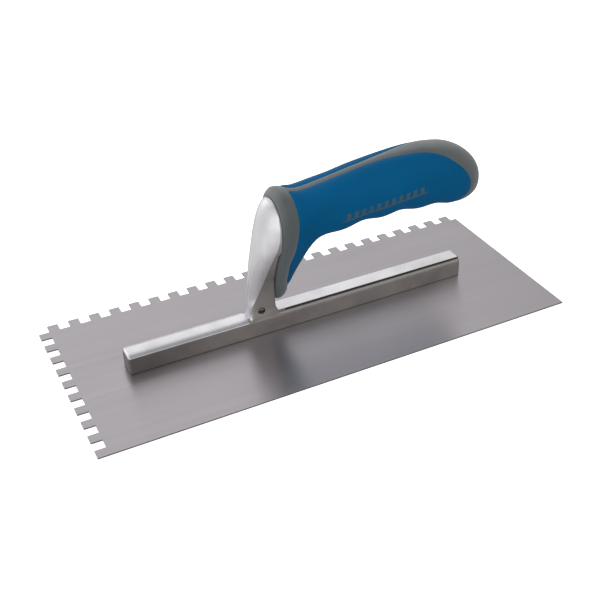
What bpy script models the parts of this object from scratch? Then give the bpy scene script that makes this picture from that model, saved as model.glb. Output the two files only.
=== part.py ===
"""Notched trowel: a riveted steel blade, a cast mounting bar and a two-part grip.

Metres, +Z up.  The blade lies flat on z = 0 with its centre at the origin, its long side along X.
The hand grip's butt points to +X, and the long notched edge faces +Y.
"""

from math import cos, hypot, pi, radians, sin

import bmesh
import bpy
from mathutils import Matrix

MM = 0.001
GAP = 0.3 * MM
WELD = 0.01 * MM

# Blade: sheet steel with square notches along its back edge and its left end.
BLADE_LENGTH = 280 * MM
BLADE_WIDTH = 120 * MM
BLADE_THICKNESS = 0.8 * MM
NOTCH = 6 * MM
NOTCH_PITCH = 2 * NOTCH

# Mounting bar that lies along the middle of the blade, ground lower in front of the post.
RAIL_START_X = -106 * MM
RAIL_END_X = 102.8 * MM
RAIL_STEP_X = -25 * MM
RAIL_CENTRE_X = (RAIL_START_X + RAIL_END_X) / 2
RAIL_HALF_WIDTH = 6 * MM
RAIL_BASE_Z = BLADE_THICKNESS + GAP
FRONT_SHOULDER_Z = 10.9 * MM
FRONT_TOP_Z = 12.5 * MM
REAR_SHOULDER_Z = 12.0 * MM
REAR_TOP_Z = 13.6 * MM
RAIL_END_BEVEL = 0.8 * MM
RAIL_END_BEVEL_ANGLE = 60

# Rivets, flush with the blade's underside, in blind holes of the bar.
RIVET_COUNT = 8
RIVET_PITCH = 27 * MM
RIVET_RADIUS = 2.0 * MM
RIVET_HEAD_RADIUS = 3.4 * MM
RIVET_LENGTH = 7 * MM
RIVET_SINK_DEPTH = 0.64 * MM
RIVET_CHAMFER = 0.4 * MM

# The grip meets the casting at the collar plane. Its butt closes from here on and ends at the tip.
COLLAR_X = -17.5 * MM
BUTT_START_X = 84 * MM
TIP_X = 112.5 * MM
TIP_Z = 64.4 * MM
# Power of the curve that closes the butt: 2 is round, more is squarer.
BUTT_POWER = 2.34

# Side view of the grip, as (x, z) in millimetres: its crown line and its underside.
CROWN = ((-17.5, 83.4), (-14, 86.0), (-9, 85.4), (-2, 84.0), (12, 85.7), (32, 88.9), (52, 91.5), (72, 92.9),
         (84, 91.5), (110, 87.4))
UNDERSIDE = ((-17.5, 19.4), (-14, 18.1), (-11.6, 19.2), (-7.6, 27.5), (-3.2, 37), (1.6, 46), (6.4, 51),
             (12, 53.5), (22, 55.6), (40, 56.8), (60, 56.4), (84, 54.3), (110, 51.4))
# Top view: half the grip's width along X, in millimetres.
HALF_WIDTH = ((-17.5, 13.4), (-14, 14.6), (-8, 14.7), (2, 14.6), (20, 15.8), (40, 16.4), (72, 16.0),
              (95, 17.0))
# How far the section narrows towards its foot: 0 is an oval, 0.7 a teardrop.
NARROWING = ((-17.5, 0.78), (-8, 0.72), (0, 0.45), (12, 0.1), (22, 0))
# The tail of the collar leans forward, away from the hand, by this much below the level given.
LEAN = 1.8 * MM
LEAN_TOP_Z = 58 * MM
LEAN_FOOT_Z = 42 * MM
LEAN_END_X = 4 * MM
OVAL_POWER = 2.25
# Finger grooves under the grip: they fade in at the neck, and the last ridge runs out into the butt.
FINGER_WAVE = 0.8 * MM
FINGER_PITCH = 24.2 * MM
FINGER_LAST_X = 81.3 * MM
FINGER_FADE_START_X = -10 * MM
FINGER_FADE_END_X = 4 * MM
OVERMOULD_DEPTH = 3 * MM

# Side view of the blue grip surface, as (x, z) in millimetres, from under the tail round to the butt.
PANEL_FRONT = ((-7.6, 20.5), (-11.4, 25), (-13.2, 32), (-12.6, 42), (-9.6, 52), (-8.4, 60), (-8.2, 68),
               (-8.8, 82), (-8.8, 110))
PANEL_REAR = ((81, 110), (82.5, 89.1), (84, 88.1), (88, 85), (94, 79.8), (98.4, 74), (100.8, 68), (100.4, 63),
              (97.6, 58.6), (92, 54.4), (84, 51), (60, 30))
PANEL_DEPTH = 60 * MM
STRIPE_CENTRE_Z = 105 * MM
SPINE_HALF_WIDTH = ((-12, 2.4), (36, 2.5), (48, 3.2), (58, 4.6), (73, 7.6), (84, 10.3), (90, 11))
SPINE_DEPTH = 60 * MM

# Polished front of the post, from the bar up: (z, edge x, front x, back x, half width) in millimetres.
LEAF = ((12.0, -34.6, -37.3, -33.6, 4.2), (13.2, -34.7, -37.0, -33.7, 3.8), (19.2, -33.8, -36.1, -32.8, 4.0),
        (24, -31.5, -35.4, -30.5, 4.4), (33, -27.9, -34.2, -26.9, 5.7), (46, -23.7, -32.0, -22.7, 8.9),
        (56.5, -20.2, -29.6, -17.8, 11.9), (62.5, -19.0, -28.2, -17.8, 12.8),
        (67.5, -18.7, -26.8, -17.8, 12.9),
        (74, -18.6, -24.6, -17.8, 11.2), (78.6, -18.7, -22.4, -17.8, 7.8), (80.6, -18.8, -20.8, -17.8, 4.6),
        (81.3, -18.9, -19.9, -17.8, 1.5))
LEAF_POWER = 2.4
# Web behind it: (z, front x, back x, front half width, back half width) in millimetres.
WEB = ((9, -36.6, -16.0, 5.9, 5.9), (11.4, -36.0, -17.0, 5.75, 5.75), (13.2, -35.4, -18.0, 5.3, 5.4),
       (16.5, -34.6, -19.4, 4.2, 5.0), (24, -31.8, -19.7, 3.9, 4.8), (33, -29.0, -19.7, 4.7, 5.3),
       (40, -26.6, -19.6, 6.2, 7.4), (46, -25.0, -19.2, 7.7, 9.0), (50, -24.0, -18.8, 8.8, 10.0),
       (56, -22.8, -18.1, 10.2, 11.1), (60, -22.0, -17.8, 11.0, 11.8), (66, -21.4, -17.8, 11.4, 12.4),
       (74, -20.6, -17.8, 10.0, 10.9), (78, -20.2, -17.8, 6.5, 7.2))
# Tang inside the grip: (x, centre z, half width, half height) in millimetres.
TANG = ((-20, 62, 6.5, 9), (0, 66, 6, 8), (36, 71.5, 5.2, 7), (70, 74, 4.4, 5.6))
TANG_BEVEL = 1.6 * MM
BORE_FREE_END = 2 * MM

BLUE = (0.010, 0.085, 0.215)
GREY = (0.105, 0.125, 0.135)
STEEL = (0.42, 0.40, 0.42)
ALUMINIUM = (0.52, 0.52, 0.53)
RIVET_METAL = (0.46, 0.46, 0.47)


def clear_scene():
    for obj in list(bpy.data.objects):
        bpy.data.objects.remove(obj, do_unlink=True)


def collection(name):
    made = bpy.data.collections.new(name)
    bpy.context.scene.collection.children.link(made)
    return made


def material(name, colour, roughness, metallic):
    made = bpy.data.materials.new(name)
    made.use_nodes = True
    shader = made.node_tree.nodes["Principled BSDF"]
    shader.inputs["Base Color"].default_value = (*colour, 1)
    shader.inputs["Roughness"].default_value = roughness
    shader.inputs["Metallic"].default_value = metallic
    return made


def add_object(name, mesh, group, surface=None):
    obj = bpy.data.objects.new(name, mesh)
    group.objects.link(obj)
    if surface:
        mesh.materials.append(surface)
    else:
        obj.hide_render = True
        obj.display_type = "WIRE"
    return obj


def smooth(obj, angle=35):
    obj.data.shade_smooth()
    obj.data.set_sharp_from_angle(angle=radians(angle))


def boolean(obj, other, operation):
    cut = obj.modifiers.new(f"{operation.lower()} {other.name}", "BOOLEAN")
    cut.operation = operation
    cut.solver = "EXACT"
    cut.object = other
    return cut


def line_value(line, x):
    """Height of a smooth line through a few points, with level ends and no overshoot."""
    points = [(a * MM, b * MM) for a, b in line]
    if x <= points[0][0]:
        return points[0][1]
    if x >= points[-1][0]:
        return points[-1][1]
    slopes = [(q[1] - p[1]) / (q[0] - p[0]) for p, q in zip(points, points[1:])]
    tangents = [slopes[0]]
    for before, after in zip(slopes, slopes[1:]):
        tangents.append(0 if before * after <= 0 else 2 * before * after / (before + after))
    tangents.append(slopes[-1])
    for i, (p, q) in enumerate(zip(points, points[1:])):
        if x <= q[0]:
            step = q[0] - p[0]
            t = (x - p[0]) / step
            return ((1 + 2 * t) * (1 - t) ** 2 * p[1] + t * (1 - t) ** 2 * step * tangents[i]
                    + t * t * (3 - 2 * t) * q[1] - t * t * (1 - t) * step * tangents[i + 1])
    return points[-1][1]


def power(value, exponent):
    return (1 if value >= 0 else -1) * abs(value) ** exponent


def finger_wave(x):
    """Height of the finger grooves at x."""
    if x > FINGER_LAST_X + FINGER_PITCH / 2:
        return -FINGER_WAVE
    fade = eased((x - FINGER_FADE_START_X) / (FINGER_FADE_END_X - FINGER_FADE_START_X))
    return FINGER_WAVE * cos(2 * pi * (x - FINGER_LAST_X) / FINGER_PITCH) * fade


def grip_ring(x, inset, sides):
    """One upright section of the grip, as points round the X axis."""
    closing = 1
    if x > BUTT_START_X:
        into = (x - BUTT_START_X) / (TIP_X - inset - BUTT_START_X)
        closing = (1 - into ** BUTT_POWER) ** (1 / BUTT_POWER)
    top = line_value(CROWN, x)
    bottom = line_value(UNDERSIDE, x) + finger_wave(x)
    middle = TIP_Z + ((top + bottom) / 2 - TIP_Z) * closing if x > BUTT_START_X else (top + bottom) / 2
    half_height = ((top - bottom) / 2 - inset) * closing
    half_width = (line_value(HALF_WIDTH, x) - inset) * closing
    narrowing = line_value(NARROWING, x) / MM
    turns = [2 * pi * i / sides for i in range(sides)]
    widest = max(sin(turn) * (1 + narrowing * cos(turn)) for turn in turns)
    ring = []
    for turn in turns:
        y = half_width * power(sin(turn), 2 / OVAL_POWER) * (1 + narrowing * cos(turn)) / widest
        z = middle + half_height * power(cos(turn), 2 / OVAL_POWER)
        ring.append((x - LEAN * lean_share(x, z), y, z))
    return ring


def eased(value):
    value = min(1, max(0, value))
    return value * value * (3 - 2 * value)


def lean_share(x, z):
    """Part of the full lean at a point: all of it at the tail's front foot, none at the neck."""
    down = eased((LEAN_TOP_Z - z) / (LEAN_TOP_Z - LEAN_FOOT_Z))
    return down * eased((LEAN_END_X - x) / (LEAN_END_X - COLLAR_X))


def grip_stations(inset, step, start):
    """Places along the grip: close at the collar, even along the grip and closing up at the butt."""
    collar = [start] + [COLLAR_X + a * MM for a in (1.2, 3.5, 6.5, 9.5, 12.5, 15.5, 19, 23, 27.5)]
    first = collar[-1]
    count = round((BUTT_START_X - first) / step)
    body = [first + (BUTT_START_X - first) * i / count for i in range(1, count + 1)]
    reach = TIP_X - inset - BUTT_START_X
    butt = [BUTT_START_X + reach * sin(radians(a)) for a in (12, 24, 35, 45, 54, 63, 71, 78, 84)]
    return collar + body + butt


def loft(rings, tip=None):
    """Closed skin through rings of equal count. With a tip, its far end is pointed, its near end laddered."""
    shape = bmesh.new()
    rows = [[shape.verts.new(point) for point in ring] for ring in rings]
    for row, following in zip(rows, rows[1:]):
        for i in range(len(row)):
            after = (i + 1) % len(row)
            shape.faces.new((row[i], row[after], following[after], following[i]))
    if not tip:
        shape.faces.new(reversed(rows[0]))
    if tip:
        left = rows[0][: len(rows[0]) // 2 + 1]
        right = [rows[0][0]] + rows[0][: len(rows[0]) // 2 - 1 : -1]
        for i in range(len(left) - 1):
            corners = dict.fromkeys((left[i], left[i + 1], right[i + 1], right[i]))
            shape.faces.new(list(corners))
        end = shape.verts.new(tip)
        for i in range(len(rows[-1])):
            shape.faces.new((rows[-1][i], rows[-1][(i + 1) % len(rows[-1])], end))
    else:
        shape.faces.new(rows[-1])
    bmesh.ops.recalc_face_normals(shape, faces=shape.faces)
    return shape


def to_mesh(shape, name):
    mesh = bpy.data.meshes.new(name)
    shape.to_mesh(mesh)
    shape.free()
    return mesh


def grip_solid(name, inset, step, sides, start=COLLAR_X):
    rings = [grip_ring(x, inset, sides) for x in grip_stations(inset, step, start)]
    return to_mesh(loft(rings, (TIP_X - inset, 0, TIP_Z)), name)


def flat_prism(name, outlines, depth, group, upright=False):
    """Solid of one or more closed outlines: in XY and centred on z = 0, or in XZ and centred on y = 0."""
    curve = bpy.data.curves.new(name, "CURVE")
    curve.dimensions = "2D"
    curve.fill_mode = "BOTH"
    curve.extrude = depth / 2
    for outline in outlines:
        spline = curve.splines.new("POLY")
        spline.points.add(len(outline) - 1)
        for point, (a, b) in zip(spline.points, outline):
            point.co = (a, b, 0, 1)
        spline.use_cyclic_u = True
    drawn = bpy.data.objects.new(name, curve)
    group.objects.link(drawn)
    if upright:
        drawn.rotation_euler = (pi / 2, 0, 0)
    bpy.context.view_layer.update()
    mesh = bpy.data.meshes.new_from_object(drawn.evaluated_get(bpy.context.evaluated_depsgraph_get()))
    mesh.transform(drawn.matrix_world)
    shape = bmesh.new()
    shape.from_mesh(mesh)
    bmesh.ops.remove_doubles(shape, verts=shape.verts, dist=WELD)
    bmesh.ops.recalc_face_normals(shape, faces=shape.faces)
    shape.to_mesh(mesh)
    shape.free()
    bpy.data.objects.remove(drawn)
    mesh.name = name
    return mesh


def blade_outline():
    """Rectangle with a tooth and a notch every pitch along the back edge and the left end."""
    left, right = -BLADE_LENGTH / 2, BLADE_LENGTH / 2
    front, back = -BLADE_WIDTH / 2, BLADE_WIDTH / 2
    points = [(right, front), (right, back - NOTCH)]
    for tooth in range(int(BLADE_LENGTH / NOTCH_PITCH), 0, -1):
        x = left + tooth * NOTCH_PITCH
        points += [(x, back - NOTCH), (x, back), (x - NOTCH, back), (x - NOTCH, back - NOTCH)]
    end_teeth = round(BLADE_WIDTH / NOTCH_PITCH)
    for tooth in range(end_teeth):
        y = back - NOTCH - tooth * NOTCH_PITCH
        points += [(left, y), (left, y - NOTCH)]
        if tooth < end_teeth - 1:
            points += [(left + NOTCH, y - NOTCH), (left + NOTCH, y - 2 * NOTCH)]
    return points


def rivet_places():
    first = RAIL_CENTRE_X - RIVET_PITCH * (RIVET_COUNT - 1) / 2
    return [first + RIVET_PITCH * i for i in range(RIVET_COUNT)]


def turned(name, profile, group, surface=None, steps=24):
    """Solid of revolution about Z from (radius, z) points, listed from top centre to bottom centre."""
    mesh = bpy.data.meshes.new(name)
    edges = [(i, i + 1) for i in range(len(profile) - 1)]
    mesh.from_pydata([(radius, 0, z) for radius, z in profile], edges, [])
    obj = add_object(name, mesh, group, surface)
    screw = obj.modifiers.new("turn", "SCREW")
    screw.steps = steps
    screw.render_steps = steps
    screw.use_merge_vertices = True
    screw.merge_threshold = WELD
    return obj


def make_blade(parts, cutters, surface):
    mesh = flat_prism("blade", [blade_outline()], BLADE_THICKNESS, parts)
    mesh.transform(Matrix.Translation((0, 0, BLADE_THICKNESS / 2)))
    blade = add_object("blade", mesh, parts, surface)
    head = RIVET_HEAD_RADIUS + GAP
    shank = RIVET_RADIUS + GAP
    for i, x in enumerate(rivet_places()):
        profile = [(0, 2 * BLADE_THICKNESS), (shank, 2 * BLADE_THICKNESS), (shank, BLADE_THICKNESS),
                   (head, -GAP / 2), (0, -GAP / 2)]
        sink = turned(f"countersink_{i + 1}", profile, cutters)
        sink.location.x = x
        boolean(blade, sink, "DIFFERENCE")
    return blade


def make_rivets(parts, surface):
    """Countersunk rivets whose shanks are swaged into the bar."""
    for i, x in enumerate(rivet_places()):
        profile = [(0, RIVET_LENGTH), (RIVET_RADIUS - RIVET_CHAMFER, RIVET_LENGTH),
                   (RIVET_RADIUS, RIVET_LENGTH - RIVET_CHAMFER), (RIVET_RADIUS, RIVET_SINK_DEPTH),
                   (RIVET_HEAD_RADIUS - GAP, 0), (0, 0)]
        rivet = turned(f"rivet_{i + 1}", profile, parts, surface)
        rivet.location.x = x
        smooth(rivet)


def rail_section(shoulder, top):
    """Upright sides, rolled shoulders and a flat top, as (y, z) points."""
    radius = top - shoulder
    half = [(RAIL_HALF_WIDTH, RAIL_BASE_Z), (RAIL_HALF_WIDTH, shoulder)]
    for a in (30, 60, 90):
        across = RAIL_HALF_WIDTH - 2 * radius * (1 - cos(radians(a)))
        half.append((across, shoulder + radius * sin(radians(a))))
    return half + [(-y, z) for y, z in reversed(half)]


def rail_piece(name, group, start, end, shoulder, top, surface=None):
    """Length of the bar along X with rounded ends."""
    mesh = flat_prism(name, [rail_section(shoulder, top)], end - start, group)
    mesh.transform(Matrix(((0, 0, 1, (start + end) / 2), (1, 0, 0, 0), (0, 1, 0, 0), (0, 0, 0, 1))))
    piece = add_object(name, mesh, group, surface)
    ends = piece.modifiers.new("cast edges", "BEVEL")
    ends.width = RAIL_END_BEVEL
    ends.segments = 2
    ends.limit_method = "ANGLE"
    ends.angle_limit = radians(RAIL_END_BEVEL_ANGLE)
    return piece


def leaf_ring(z, edge, front, back, half_width, arc=14):
    """Level section of the polished front: a bowed face with upright sides behind it."""
    ring = []
    for i in range(arc + 1):
        across = sin(pi * (i / arc - 0.5))
        bow = (edge - front) * (1 - abs(across) ** LEAF_POWER)
        ring.append(((edge - bow) * MM, half_width * MM * across, z * MM))
    return ring + [(back * MM, half_width * MM, z * MM), (back * MM, -half_width * MM, z * MM)]


def make_casting(parts, cutters, surface):
    """Bar, post and tang in one casting."""
    casting = rail_piece("mount_casting", parts, RAIL_STEP_X - RAIL_HALF_WIDTH, RAIL_END_X, REAR_SHOULDER_Z,
                         REAR_TOP_Z, surface)
    front = rail_piece("rail_front", cutters, RAIL_START_X, RAIL_STEP_X, FRONT_SHOULDER_Z, FRONT_TOP_Z)
    web_rings = []
    for z, front_x, back_x, front_half, back_half in WEB:
        web_rings.append([(front_x * MM, -front_half * MM, z * MM), (back_x * MM, -back_half * MM, z * MM),
                          (back_x * MM, back_half * MM, z * MM), (front_x * MM, front_half * MM, z * MM)])
    web = add_object("post_web", to_mesh(loft(web_rings), "post_web"), cutters)
    leaf = add_object("post_front", to_mesh(loft([leaf_ring(*row) for row in LEAF]), "post_front"), cutters)
    tang_rings = []
    for x, z, half_width, half_height in TANG:
        tang_rings.append([(x * MM, a * half_width * MM, (z + b * half_height) * MM)
                           for a, b in ((-1, -1), (1, -1), (1, 1), (-1, 1))])
    tang = add_object("tang", to_mesh(loft(tang_rings), "tang"), cutters)
    round_off = tang.modifiers.new("round corners", "BEVEL")
    round_off.width = TANG_BEVEL
    round_off.segments = 2
    for piece in (front, web, leaf, tang):
        boolean(casting, piece, "UNION")
    for i, x in enumerate(rivet_places()):
        radius = RIVET_RADIUS + GAP
        depth = RIVET_LENGTH + GAP
        profile = [(0, depth), (radius, depth), (radius, 0), (0, 0)]
        hole = turned(f"rivet_hole_{i + 1}", profile, cutters, steps=16)
        hole.location.x = x
        boolean(casting, hole, "DIFFERENCE")
    smooth(casting, 30)
    return casting


def panel_outline(grow):
    """Side view of the blue surface, made larger all round by grow."""
    points = [(a * MM, b * MM) for a, b in PANEL_FRONT + PANEL_REAR]
    if grow == 0:
        return points
    grown = []
    for i, here in enumerate(points):
        before, after = points[i - 1], points[(i + 1) % len(points)]
        along = (after[0] - before[0], after[1] - before[1])
        size = hypot(*along)
        grown.append((here[0] - grow * along[1] / size, here[1] + grow * along[0] / size))
    return grown


def spine_outline(shrink):
    """Top view of the grey stripe along the crown."""
    near = [(a * MM, -b * MM + shrink) for a, b in SPINE_HALF_WIDTH]
    return near + [(x, -y) for x, y in reversed(near)]


def panel_cutter(name, cutters, grow):
    """Space of the blue surface: everything beside and under the grey stripe."""
    space_mesh = flat_prism(name, [panel_outline(grow)], PANEL_DEPTH, cutters, upright=True)
    space = add_object(name, space_mesh, cutters)
    stripe_mesh = flat_prism(f"{name}_stripe", [spine_outline(grow)], SPINE_DEPTH, cutters)
    stripe_mesh.transform(Matrix.Translation((0, 0, STRIPE_CENTRE_Z)))
    stripe = add_object(f"{name}_stripe", stripe_mesh, cutters)
    boolean(space, stripe, "DIFFERENCE")
    return space


def bore_cutter(cutters):
    """Space for the tang, with its clearance and a little free length at its end."""
    rings = []
    for x, z, half_width, half_height in TANG:
        reach = BORE_FREE_END if x == TANG[-1][0] else 0
        rings.append([(x * MM + reach, a * (half_width * MM + GAP), z * MM + b * (half_height * MM + GAP))
                      for a, b in ((-1, -1), (1, -1), (1, 1), (-1, 1))])
    return add_object("tang_bore", to_mesh(loft(rings), "tang_bore"), cutters)


def make_grip(parts, cutters, blue, grey):
    """Hard blue body with the grey overmould let into it: collar, stripe and butt cap in one."""
    bore = bore_cutter(cutters)

    core_mesh = grip_solid("grip_core", OVERMOULD_DEPTH + GAP, 12 * MM, 20, COLLAR_X + GAP)
    core = add_object("grip_core", core_mesh, cutters)
    body = add_object("grip_body", grip_solid("grip_body", 0, 6 * MM, 28), parts, blue)
    boolean(body, panel_cutter("panel_space", cutters, 0), "INTERSECT")
    boolean(body, core, "UNION")
    boolean(body, bore, "DIFFERENCE")
    smooth(body, 40)

    seat_mesh = grip_solid("grip_seat", OVERMOULD_DEPTH, 12 * MM, 20, COLLAR_X - MM)
    seat = add_object("grip_seat", seat_mesh, cutters)
    overmould = add_object("soft_overmould", grip_solid("soft_overmould", 0, 6 * MM, 28), parts, grey)
    boolean(overmould, seat, "DIFFERENCE")
    boolean(overmould, panel_cutter("panel_clearance", cutters, GAP), "DIFFERENCE")
    smooth(overmould, 40)


def main():
    clear_scene()
    parts = collection("notched_trowel")
    cutters = collection("cutters")
    make_blade(parts, cutters, material("blade steel", STEEL, 0.35, 1))
    make_casting(parts, cutters, material("cast aluminium", ALUMINIUM, 0.3, 1))
    make_rivets(parts, material("rivet metal", RIVET_METAL, 0.35, 1))
    make_grip(parts, cutters, material("blue grip", BLUE, 0.4, 0), material("grey soft grip", GREY, 0.6, 0))


main()
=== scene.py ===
"""Looks of a notched trowel: brushed blade, cast mounting bar with its post, and a two-part grip.

Metres, +Z up.  The blade lies flat on z = 0, its long side along X, and the grip's butt points to +X.
"""

from math import cos, hypot, pi, radians, sin, sqrt

import bmesh
import bpy
from bpy.props import FloatProperty, FloatVectorProperty, IntProperty, PointerProperty
from mathutils import Matrix, Vector


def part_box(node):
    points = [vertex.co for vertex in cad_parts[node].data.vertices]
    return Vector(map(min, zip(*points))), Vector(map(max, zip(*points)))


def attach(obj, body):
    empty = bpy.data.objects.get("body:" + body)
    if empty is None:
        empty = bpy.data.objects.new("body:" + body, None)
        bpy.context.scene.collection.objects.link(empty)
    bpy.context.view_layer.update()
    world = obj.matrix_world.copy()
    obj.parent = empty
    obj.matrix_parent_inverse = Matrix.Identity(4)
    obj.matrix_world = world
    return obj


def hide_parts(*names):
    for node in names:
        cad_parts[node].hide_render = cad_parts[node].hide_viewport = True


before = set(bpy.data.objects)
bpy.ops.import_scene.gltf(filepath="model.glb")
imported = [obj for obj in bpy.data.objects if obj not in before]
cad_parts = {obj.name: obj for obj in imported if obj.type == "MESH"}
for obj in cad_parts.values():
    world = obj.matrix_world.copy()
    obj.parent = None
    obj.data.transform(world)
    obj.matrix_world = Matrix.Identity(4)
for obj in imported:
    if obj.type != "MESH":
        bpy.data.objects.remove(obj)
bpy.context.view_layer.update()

bl_info = {
    "name": "Notched Trowel",
    "version": (1, 0, 0),
    "blender": (4, 5, 0),
    "location": "3D View > Sidebar > Trowel",
    "description": "Makes a notched trowel with a riveted blade, a cast bar and a two-part grip",
    "category": "Add Mesh",
}

MM = 0.001
BODY = "root"

BLADE_LOW, BLADE_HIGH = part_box("blade")
CAST_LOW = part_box("mount_casting")[0]
RIVETS = sorted(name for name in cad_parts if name.startswith("rivet_"))

# Mounting bar: half its upright outline as (y, z) in millimetres, in front of the post and behind it.
FRONT_OUTLINE = ((6.0, 1.1), (6.0, 5.0), (6.0, 8.5), (6.0, 10.6), (5.97, 10.95), (5.82, 11.12), (5.6, 11.06),
                 (5.2, 11.28), (4.5, 11.7), (3.7, 12.07), (2.8, 12.33), (1.8, 12.46), (0.8, 12.5),
                 (0.0, 12.5))
REAR_OUTLINE = ((6.0, 1.1), (6.0, 5.0), (6.0, 8.4), (6.0, 9.8), (5.93, 10.5), (5.76, 11.1), (5.5, 11.6),
                (5.16, 12.0), (4.76, 12.26), (4.42, 12.3), (4.36, 13.3), (4.2, 13.45), (2.0, 13.5),
                (0.0, 13.5))
BAR_CHANGE_START_X = -38
BAR_CHANGE_END_X = -27
BAR_END_X = 102.8
BAR_END_RADIUS = 1.3
BAR_HALF_WIDTH = 6
BAR_FOOT_Z = 1.1
BAR_FRONT_TOP_Z = 12.5
BAR_REAR_TOP_Z = 13.5
SHANK_HOLE_DEPTH = 8 * MM
SHANK_HOLE_MIDDLE_Z = 3.3 * MM

# Polished front of the post as (z, edge x, front x, half width) in millimetres.
LEAF = ((12.0, -34.6, -37.3, 4.2), (13.2, -34.7, -37.0, 3.8), (19.2, -33.8, -36.1, 4.0),
        (24, -31.5, -35.4, 4.4), (33, -27.9, -34.2, 5.7), (46, -23.7, -32.0, 8.9),
        (56.5, -20.2, -29.6, 11.9), (62.5, -19.0, -28.2, 12.8), (67.5, -18.7, -26.8, 12.9),
        (74, -18.6, -24.6, 11.2), (78.6, -18.7, -22.4, 7.8), (80.6, -18.8, -20.8, 4.6),
        (81.3, -18.9, -19.9, 1.5))
LEAF_POWER = 2.4
LEAF_RIM = 0.5
LEAF_SIDE_START = 0.25
POST_BACK_X = -17.8
# The polished front's block reaches back to the collar above these heights: from none to all of the way.
LEAF_DEEPENING_Z = (48, 56)
# Web behind it as (z, front x, back x, front half width, back half width) in millimetres.
WEB = ((9, -36.6, -16.0, 5.9, 5.9), (11.4, -36.0, -17.0, 5.75, 5.75), (13.2, -35.4, -18.0, 5.3, 5.4),
       (16.5, -34.6, -19.4, 4.2, 5.0), (24, -31.8, -19.7, 3.9, 4.8), (33, -29.0, -19.7, 4.7, 5.3),
       (40, -26.6, -19.6, 6.2, 7.4), (46, -25.0, -19.2, 7.7, 9.0), (50, -24.0, -18.8, 8.8, 10.0),
       (56, -22.8, -18.1, 10.2, 11.1), (60, -22.0, -17.8, 11.0, 11.8), (66, -21.4, -17.8, 11.4, 12.4),
       (74, -20.6, -17.8, 10.0, 10.9), (78, -20.2, -17.8, 6.5, 7.2))
WEB_POWER = 7.0
# Mould mark on the near side of the web, as (x, z) in millimetres.
MARK_PLACE = (-28.3, 16.2)
MARK_RING_RADIUS = 1.6
MARK_WIRE_RADIUS = 0.28
MARK_DOT_RADIUS = 0.35
MARK_RISE = 0.1
MARK_DARK_RADIUS = 2.3
# Limits in millimetres of the polished faces of the casting and of the step that gets painted shade.
LEAF_FOOT_Z = 12.4
LEAF_SPREAD_Z = 16
LEAF_SPREAD = 0.35
LEAF_FOOT_SPREAD = 0.05
LEAF_BACK_X = -17.9
LEAF_FLANK_BACK_X = -17.85
LEAF_FLANK_Z = 49
LEAF_CAP_Z = 75
LAND_Z = (13.3, 13.65)
CROWN_Z = (10.9, 12.6)
CROWN_END_X = -36
STEP_START_X = -16
STEP_Y = (4.2, 4.7)
STEP_Z = (12.3, 13.3)
# Tang inside the grip as (x, centre z, half width, half height) in millimetres.
TANG = ((-20, 62, 6.5, 9), (0, 66, 6, 8), (36, 71.5, 5.2, 7), (70, 74, 4.4, 5.6))
# Mouth of the grip's bore round the tang: half width, half height and centre height in millimetres.
BORE_HALF_WIDTH = 6.9
BORE_HALF_HEIGHT = 9.4
BORE_Z = 62

# Grip in side view as (x, z) in millimetres, and its half width along X.
CROWN = ((-17.5, 83.4), (-14, 86.0), (-9, 85.4), (-2, 84.0), (12, 85.7), (32, 88.9), (52, 91.5), (72, 92.9),
         (84, 91.5), (110, 87.4))
UNDERSIDE = ((-17.5, 19.4), (-14, 18.1), (-11.6, 19.2), (-7.6, 27.5), (-3.2, 37), (1.6, 46), (6.4, 51),
             (12, 53.5), (22, 55.6), (40, 56.8), (60, 56.4), (84, 54.3), (110, 51.4))
HALF_WIDTH = ((-17.5, 13.4), (-14, 14.6), (-8, 14.7), (2, 14.6), (20, 15.8), (40, 16.4), (72, 16.0),
              (95, 17.0))
# How far the section narrows towards its foot along X: 0 is an oval, 0.7 a teardrop.
NARROWING = ((-17.5, 0.78), (-8, 0.72), (0, 0.45), (12, 0.1), (22, 0), (97, 0))
OVAL_POWER = 2.25
COLLAR_X = -17.5
COLLAR_ROLL = 0.9
BUTT_START_X = 84
BUTT_POWER = 2.34
TIP_X = 112.5
TIP_Z = 64.4
LEAN = 1.8
LEAN_TOP_Z = 58
LEAN_FOOT_Z = 42
LEAN_END_X = 4
FINGER_WAVE = 0.8
FINGER_PITCH = 24.2
FINGER_LAST_X = 81.3
FINGER_FADE_X = (-10, 4)

# Edges of the blue surface as (z, x) in side view, and the grey stripe's half width along X, in millimetres.
COLLAR_EDGE = ((18, -6.4), (20.5, -7.0), (25, -9.6), (32, -12.2), (42, -12.2), (52, -9.6), (60, -8.4),
               (68, -8.2), (82, -8.8), (95, -8.8))
BUTT_EDGE = ((30, 60), (51, 84), (54.4, 92), (58.6, 97.6), (63, 100.4), (68, 100.8), (74, 98.4), (79.8, 94),
             (85, 88), (88.1, 84), (89.1, 82.5), (95, 81))
STRIPE_HALF_WIDTH = ((-12, 2.0), (36, 2.2), (48, 3.0), (58, 4.6), (73, 7.6), (84, 10.3), (90, 11))
STRIPE_FOOT_Z = 76
CORNER_ROUNDING = 2.2
# Points of the skin this close to a colour's edge, in millimetres, move onto it.
EDGE_SNAP = 0.25
# The valley between the colours fades as this number to the power of minus the squared distance in reaches.
SEAM_FALLOFF = 2.718
SEAM_START_X = 1.3
LEAST_HALF = 0.02

# Printed band on the blue sides.
PRINT_CENTRE_X = 43.7 * MM
PRINT_HALF_LENGTH = 26.5 * MM
PRINT_LEVEL = 63.6 * MM
PRINT_SLOPE = 0.10
PRINT_HALF_BAR = 0.5 * MM
PRINT_TOOTH_RISE = 2.2 * MM
PRINT_HALF_TOOTH = 1.9 * MM
PRINT_PITCH = 4.6 * MM

# Painted shade at the left end of the casting: where it starts to fade and has gone, from the end.
LEFT_END_SHADE_REACH = (12 * MM, 50 * MM)
LEFT_END_SHADE_STRENGTH = 0.55

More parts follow.
